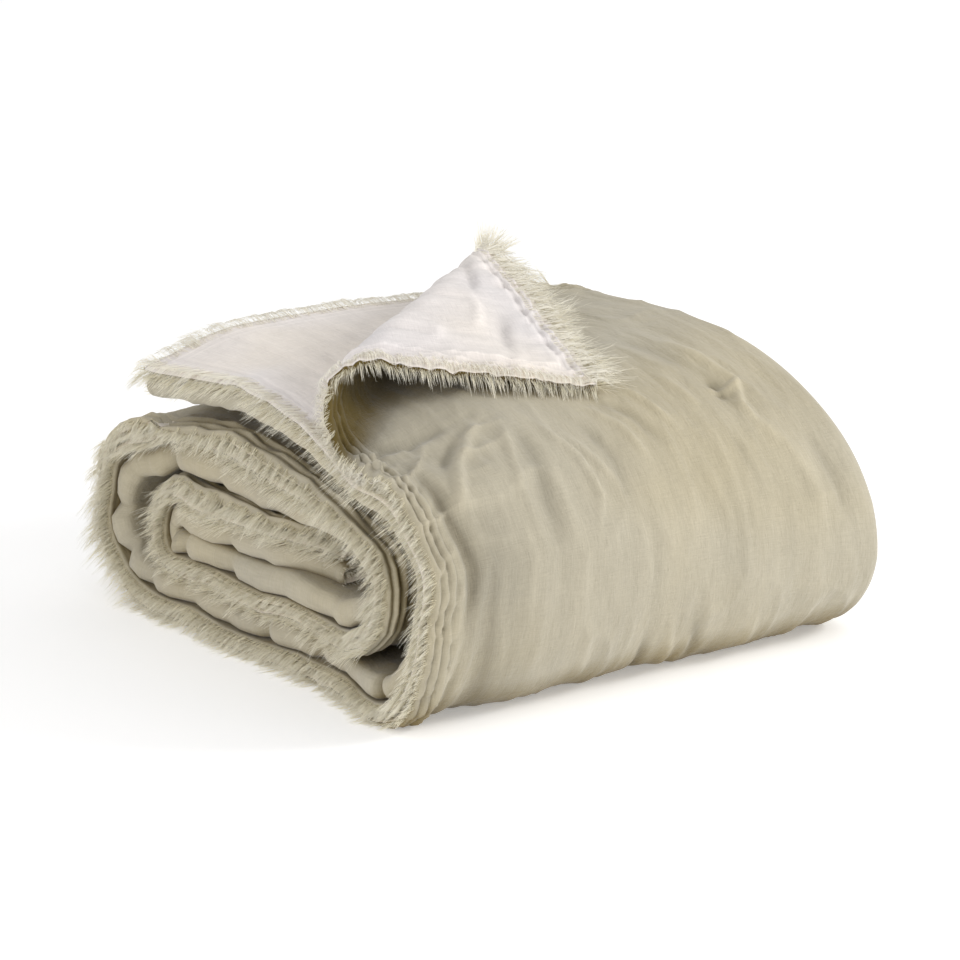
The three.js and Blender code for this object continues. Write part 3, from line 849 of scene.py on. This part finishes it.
def linen(name, colour, shadow):
    """Woven linen: a fine weave, slubs, soft streaks and a few paler, cooler patches."""
    n = Nodes(name)
    warp = n.noise(0.0006, 0.012, detail=1.0)
    weft = n.noise(0.012, 0.0006, detail=1.0)
    weave = n.math("ADD", warp, weft)
    slubs = n.spread(n.noise(0.0012, 0.035, detail=1.0), 0.62, 0.80)
    streaks = n.noise(0.010, 0.30, detail=3.0)
    patches = n.noise(0.05, 0.07, detail=3.0)
    light = n.math("MULTIPLY_ADD", n.math("SUBTRACT", weave, 1.0), 0.16, 1.0)
    light = n.math("MULTIPLY_ADD", slubs, 0.05, light)
    light = n.math("MULTIPLY_ADD", n.math("SUBTRACT", streaks, 0.5), 0.16, light)
    light = n.math("MULTIPLY_ADD", n.math("SUBTRACT", patches, 0.5), 0.22, light)
    # Painted highlight on ridges and puckers, and painted shade in hollows, valleys and stitch
    # grooves, read from the shade kept with the mesh.
    painted_light = n.add("ShaderNodeAttribute", attribute_name="shade").outputs["Fac"]
    hollows = n.math("MAXIMUM", n.math("MINIMUM", painted_light, 0.0), -2.0)
    light = n.math("MULTIPLY_ADD", n.math("MAXIMUM", painted_light, 0.0), 0.11, light)
    light = n.math("MULTIPLY_ADD", hollows, 0.16, light)
    shade = n.add("ShaderNodeCombineColor")
    for socket in shade.inputs[:3]:
        n.join(light, socket)
    cool = tuple(channel * tint for channel, tint in zip(colour, (0.98, 1.00, 1.05)))
    warm = tuple(channel * tint for channel, tint in zip(colour, (1.01, 1.00, 0.96)))
    hue = n.blend(n.spread(n.noise(0.16, 0.14, detail=2.0), 0.35, 0.65), (*cool, 1), (*warm, 1))
    woven_colour = n.blend(1.0, hue, shade.outputs["Color"], "MULTIPLY")
    # The base colour takes painted shade in narrow hollows and deep inside the curl.
    n.join(with_painted_shade(n, woven_colour, shadow, painted_light), n.shader.inputs["Base Color"])
    crumple = n.bump(n.noise(0.014, 0.026, detail=5.0, roughness=0.6), 0.0030, 0.7)
    broad_ridges = n.noise(0.050, 0.080, detail=2.0, kind="RIDGED_MULTIFRACTAL")
    crumple = n.bump(broad_ridges, 0.0022, 0.5, crumple)
    n.join(n.bump(weave, 0.00025, 0.7, crumple), n.shader.inputs["Normal"])
    n.shader.inputs["Roughness"].default_value = 0.9
    n.shader.inputs["Specular IOR Level"].default_value = 0.2
    n.shader.inputs["Sheen Weight"].default_value = 0.25
    n.shader.inputs["Sheen Roughness"].default_value = 0.5
    return n.material


OFF_WHITE_YARN = (0.97, 0.935, 0.83)


def yarn_material(name, colour):
    """Loose yarn with painted shade at its root, each a little lighter or darker than the next.
    The yarns marked pale are off-white all along."""
    n = Nodes(name)
    each = n.noise(0.0003, 50.0, detail=0.0)
    tufts = n.noise(0.008, 50.0, detail=1.0)
    light = n.math("MULTIPLY_ADD", n.math("SUBTRACT", each, 0.5), 0.26, 1.0)
    light = n.math("MULTIPLY_ADD", n.math("SUBTRACT", tufts, 0.5), 0.16, light)
    shade = n.add("ShaderNodeCombineColor")
    for socket in shade.inputs[:3]:
        n.join(light, socket)
    split = n.add("ShaderNodeSeparateXYZ")
    n.join(n.uv, split.inputs["Vector"])
    # Painted shade: the yarn darkens and turns olive towards its root.
    root = tuple(channel * tint for channel, tint in zip(colour, (0.76, 0.73, 0.62)))
    along = n.blend(n.spread(split.outputs["Y"], 0.0, 0.8), (*root, 1), (*colour, 1))
    pale = n.add("ShaderNodeAttribute", attribute_name="pale").outputs["Fac"]
    along = n.blend(pale, along, (*OFF_WHITE_YARN, 1))
    yarn_colour = n.blend(1.0, along, shade.outputs["Color"], "MULTIPLY")
    n.join(yarn_colour, n.shader.inputs["Base Color"])
    n.shader.inputs["Roughness"].default_value = 0.95
    n.shader.inputs["Specular IOR Level"].default_value = 0.15
    n.shader.inputs["Sheen Weight"].default_value = 0.15
    return n.material


# ---- What a user would change ------------------------------------------------------------


class ThrowSettings(bpy.types.PropertyGroup):
    width: FloatProperty(
        name="Width",
        description="Flat width, from side edge to side edge",
        default=1.3,
        unit="LENGTH",
    )
    cut_length: FloatProperty(
        name="Length",
        description="Flat length, from end edge to end edge",
        default=1.7,
        unit="LENGTH",
    )
    wrinkles: FloatProperty(
        name="Wrinkles",
        description="How strongly the cloth is wrinkled",
        default=1.0,
        min=0,
        max=2,
    )


class FringeSettings(bpy.types.PropertyGroup):
    length: FloatProperty(
        name="Fringe Length",
        description="Length of the frayed yarns",
        default=0.018,
        unit="LENGTH",
    )
    yarn: FloatProperty(
        name="Yarn",
        description="Thickness of one frayed yarn",
        default=0.00026,
        unit="LENGTH",
        precision=5,
    )
    tuft: FloatProperty(
        name="Tuft",
        description="Width of the tufts that yarns gather into",
        default=0.0026,
        unit="LENGTH",
    )
    inset: FloatProperty(
        name="Inset",
        description="How far inside the edge the reverse cloth starts to fray",
        default=0.010,
        unit="LENGTH",
    )
    per_metre: IntProperty(
        name="Yarns per Metre",
        description="Yarns along each metre of edge",
        default=7500,
        min=100,
    )


class LinenColours(bpy.types.PropertyGroup):
    face: FloatVectorProperty(
        name="Face",
        description="Colour of the face cloth",
        subtype="COLOR",
        default=(0.425, 0.380, 0.277),
    )
    reverse: FloatVectorProperty(
        name="Reverse",
        description="Colour of the reverse cloth",
        subtype="COLOR",
        default=(0.78, 0.725, 0.685),
    )
    yarn: FloatVectorProperty(
        name="Fringe",
        description="Colour of the frayed yarn",
        subtype="COLOR",
        default=(0.97, 0.93, 0.79),
    )


class StageSettings(bpy.types.PropertyGroup):
    azimuth: FloatProperty(
        name="Azimuth",
        description="Camera's turn round the throw",
        default=math.radians(-36),
        unit="ROTATION",
    )
    elevation: FloatProperty(
        name="Elevation",
        description="Camera's height above the horizon",
        default=math.radians(18),
        unit="ROTATION",
    )
    distance: FloatProperty(
        name="Distance",
        description="From the camera to the throw",
        default=6.605,
        unit="LENGTH",
    )
    floor: FloatVectorProperty(
        name="Floor",
        description="Colour of the floor",
        subtype="COLOR",
        default=(0.92, 0.92, 0.92),
    )


# ---- Operators ---------------------------------------------------------------------------


def folded_throw(context):
    settings = context.scene.throw_cloth
    return FoldedThrow(settings.width, Wrinkles(settings.wrinkles))


def finish_piece(piece, material, node):
    piece.data.materials.append(material)
    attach(piece, "root")
    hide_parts(node)


class LINEN_OT_face_panel(bpy.types.Operator):
    """Make the khaki face cloth"""

    bl_idname = "linen.face_panel"
    bl_label = "Face Panel"

    def execute(self, context):
        throw = folded_throw(context)
        columns = cloth_columns(throw, outer=0.0021, lower=0.014)
        rows = cloth_rows(throw, corner=0.0045, bend=0.0015, front=0.0028, hidden=0.012)
        piece = cloth_piece(throw, "face_cloth", 1, columns, rows)
        material = linen("khaki_linen", context.scene.throw_colours.face, FACE_PAINTED_SHADOW)
        finish_piece(piece, material, "face_panel")
        return {"FINISHED"}


class LINEN_OT_reverse_panel(bpy.types.Operator):
    """Make the off-white reverse cloth"""

    bl_idname = "linen.reverse_panel"
    bl_label = "Reverse Panel"

    def execute(self, context):
        throw = folded_throw(context)
        columns = cloth_columns(throw, outer=0.0030, lower=0.0030)
        rows = cloth_rows(throw, corner=0.0026, bend=0.0026, front=0.005, hidden=0.012)
        piece = cloth_piece(throw, "reverse_cloth", -1, columns, rows)
        colour = context.scene.throw_colours.reverse
        material = linen("off_white_linen", colour, REVERSE_PAINTED_SHADOW)
        finish_piece(piece, material, "reverse_panel")
        return {"FINISHED"}


class LINEN_OT_fringes(bpy.types.Operator):
    """Fray all four edges of the throw"""

    bl_idname = "linen.fringes"
    bl_label = "Fringes"

    def execute(self, context):
        throw = folded_throw(context)
        settings = context.scene.throw_fringe
        wide, long = throw.width, throw.length
        places = {
            "upper_side": lambda at, out, offset: throw.point(-out, at, offset),
            "lower_side": lambda at, out, offset: throw.point(wide + out, at, offset),
            "outer_end": lambda at, out, offset: throw.point(at, -out, offset),
            "core_end": lambda at, out, offset: throw.point(at, long + out, offset),
        }
        lengths = (long, long, wide, wide)
        material = yarn_material("frayed_yarn", context.scene.throw_colours.yarn)
        for seed, ((edge, root_at), along) in enumerate(zip(places.items(), lengths)):
            density, pale_to, droops, reaches = FRINGES[edge]
            pale_to = wide if pale_to is None else pale_to
            piece = fringe_piece(
                f"{edge}_yarns",
                along,
                int(along * settings.per_metre * density),
                root_at,
                settings,
                seed + FIRST_YARN_SEED,
                lambda at: np.interp(at, *droops),
                lambda at: np.interp(at, *reaches),
                pale_to,
            )
            finish_piece(piece, material, f"fringe_{edge}")
        return {"FINISHED"}


class LINEN_OT_declare(bpy.types.Operator):
    """An empty step that does nothing"""

    bl_idname = "linen.declare"
    bl_label = "Cut Sizes"

    def execute(self, context):
        return {"FINISHED"}


FLOOR_SIZE, FLOOR_GLOW = 6, 0.28
SKY_STRENGTH = 0.70
LIT_POINT = (0, 0, 0.08)
# Each area light's place, size, power and colour.
LIGHTS = {
    "key": ((1.3, -1.0, 1.0), 0.5, 15.5, (1, 0.99, 0.97)),
    "fill": ((-2.2, -0.9, 0.9), 1.4, 17, (1, 0.98, 0.99)),
    "low_fill": ((1.2, -2.2, 0.20), 1.0, 8, (1, 0.98, 1.0)),
}
LENS, SENSOR_WIDTH, CLIP_END = 400, 36, 30
# The point in the throw that the camera looks at, and its shift along the camera's axes.
AIM = (-0.0039, -0.00105, 0.085)
AIM_SHIFT = (0.00624, 0.00458, 0)


def area_light(name, place, target, size, power, colour):
    light = bpy.data.lights.new(name, "AREA")
    light.size = size
    light.energy = power
    light.color = colour
    lamp = bpy.data.objects.new(name, light)
    lamp.location = place
    lamp.rotation_euler = (Vector(target) - Vector(place)).to_track_quat("-Z", "Y").to_euler()
    bpy.context.scene.collection.objects.link(lamp)


class LINEN_OT_stage(bpy.types.Operator):
    """Set the floor, the lights and the camera"""

    bl_idname = "linen.stage"
    bl_label = "Stage"

    def execute(self, context):
        settings = context.scene.throw_stage
        bm = bmesh.new()
        bmesh.ops.create_grid(bm, x_segments=1, y_segments=1, size=FLOOR_SIZE)
        mesh = bpy.data.meshes.new("floor")
        bm.to_mesh(mesh)
        bm.free()
        material = bpy.data.materials.new("pale_floor")
        material.use_nodes = True
        shader = material.node_tree.nodes["Principled BSDF"]
        shader.inputs["Base Color"].default_value = (*settings.floor, 1)
        shader.inputs["Roughness"].default_value = 0.9
        shader.inputs["Emission Color"].default_value = (1, 1, 1, 1)
        shader.inputs["Emission Strength"].default_value = FLOOR_GLOW
        mesh.materials.append(material)
        floor = bpy.data.objects.new("floor", mesh)
        context.scene.collection.objects.link(floor)

        world = bpy.data.worlds.new("soft_light")
        world.use_nodes = True
        background = world.node_tree.nodes["Background"]
        background.inputs["Color"].default_value = (1, 1, 1, 1)
        background.inputs["Strength"].default_value = SKY_STRENGTH
        context.scene.world = world
        for name, (place, size, power, colour) in LIGHTS.items():
            area_light(name, place, LIT_POINT, size, power, colour)
        context.scene.view_settings.view_transform = "Standard"

        azimuth, elevation = settings.azimuth, settings.elevation
        towards = Vector(
            (
                math.sin(azimuth) * math.cos(elevation),
                -math.cos(azimuth) * math.cos(elevation),
                math.sin(elevation),
            )
        )
        camera = bpy.data.cameras.new("camera")
        camera.lens = LENS
        camera.sensor_width = SENSOR_WIDTH
        camera.clip_end = CLIP_END
        eye = bpy.data.objects.new("camera", camera)
        turn = (-towards).to_track_quat("-Z", "Y")
        target = Vector(AIM) + turn @ Vector(AIM_SHIFT)
        eye.location = target + towards * settings.distance
        eye.rotation_euler = turn.to_euler()
        context.scene.collection.objects.link(eye)
        context.scene.camera = eye
        return {"FINISHED"}


class LINEN_PT_panel(bpy.types.Panel):
    bl_idname = "LINEN_PT_panel"
    bl_label = "Linen Throw"
    bl_space_type = "VIEW_3D"
    bl_region_type = "UI"
    bl_category = "Linen Throw"

    def draw(self, context):
        scene = context.scene
        for group in (
            scene.throw_cloth,
            scene.throw_fringe,
            scene.throw_colours,
            scene.throw_stage,
        ):
            box = self.layout.box()
            for name in group.bl_rna.properties.keys():
                if name not in ("rna_type", "name"):
                    box.prop(group, name)
        for operator in OPERATORS:
            self.layout.operator(operator.bl_idname)


GROUPS = {
    "throw_cloth": ThrowSettings,
    "throw_fringe": FringeSettings,
    "throw_colours": LinenColours,
    "throw_stage": StageSettings,
}
OPERATORS = (
    LINEN_OT_face_panel,
    LINEN_OT_reverse_panel,
    LINEN_OT_fringes,
    LINEN_OT_declare,
    LINEN_OT_stage,
)
CLASSES = (*GROUPS.values(), *OPERATORS, LINEN_PT_panel)


def register():
    for each in CLASSES:
        bpy.utils.register_class(each)
    for name, group in GROUPS.items():
        setattr(bpy.types.Scene, name, PointerProperty(type=group))


def unregister():
    for name in GROUPS:
        delattr(bpy.types.Scene, name)
    for each in reversed(CLASSES):
        bpy.utils.unregister_class(each)


def main():
    register()
    bpy.ops.linen.face_panel()
    bpy.ops.linen.reverse_panel()
    bpy.ops.linen.fringes()
    bpy.ops.linen.declare()
    bpy.ops.linen.stage()


if __name__ == "__main__":
    main()
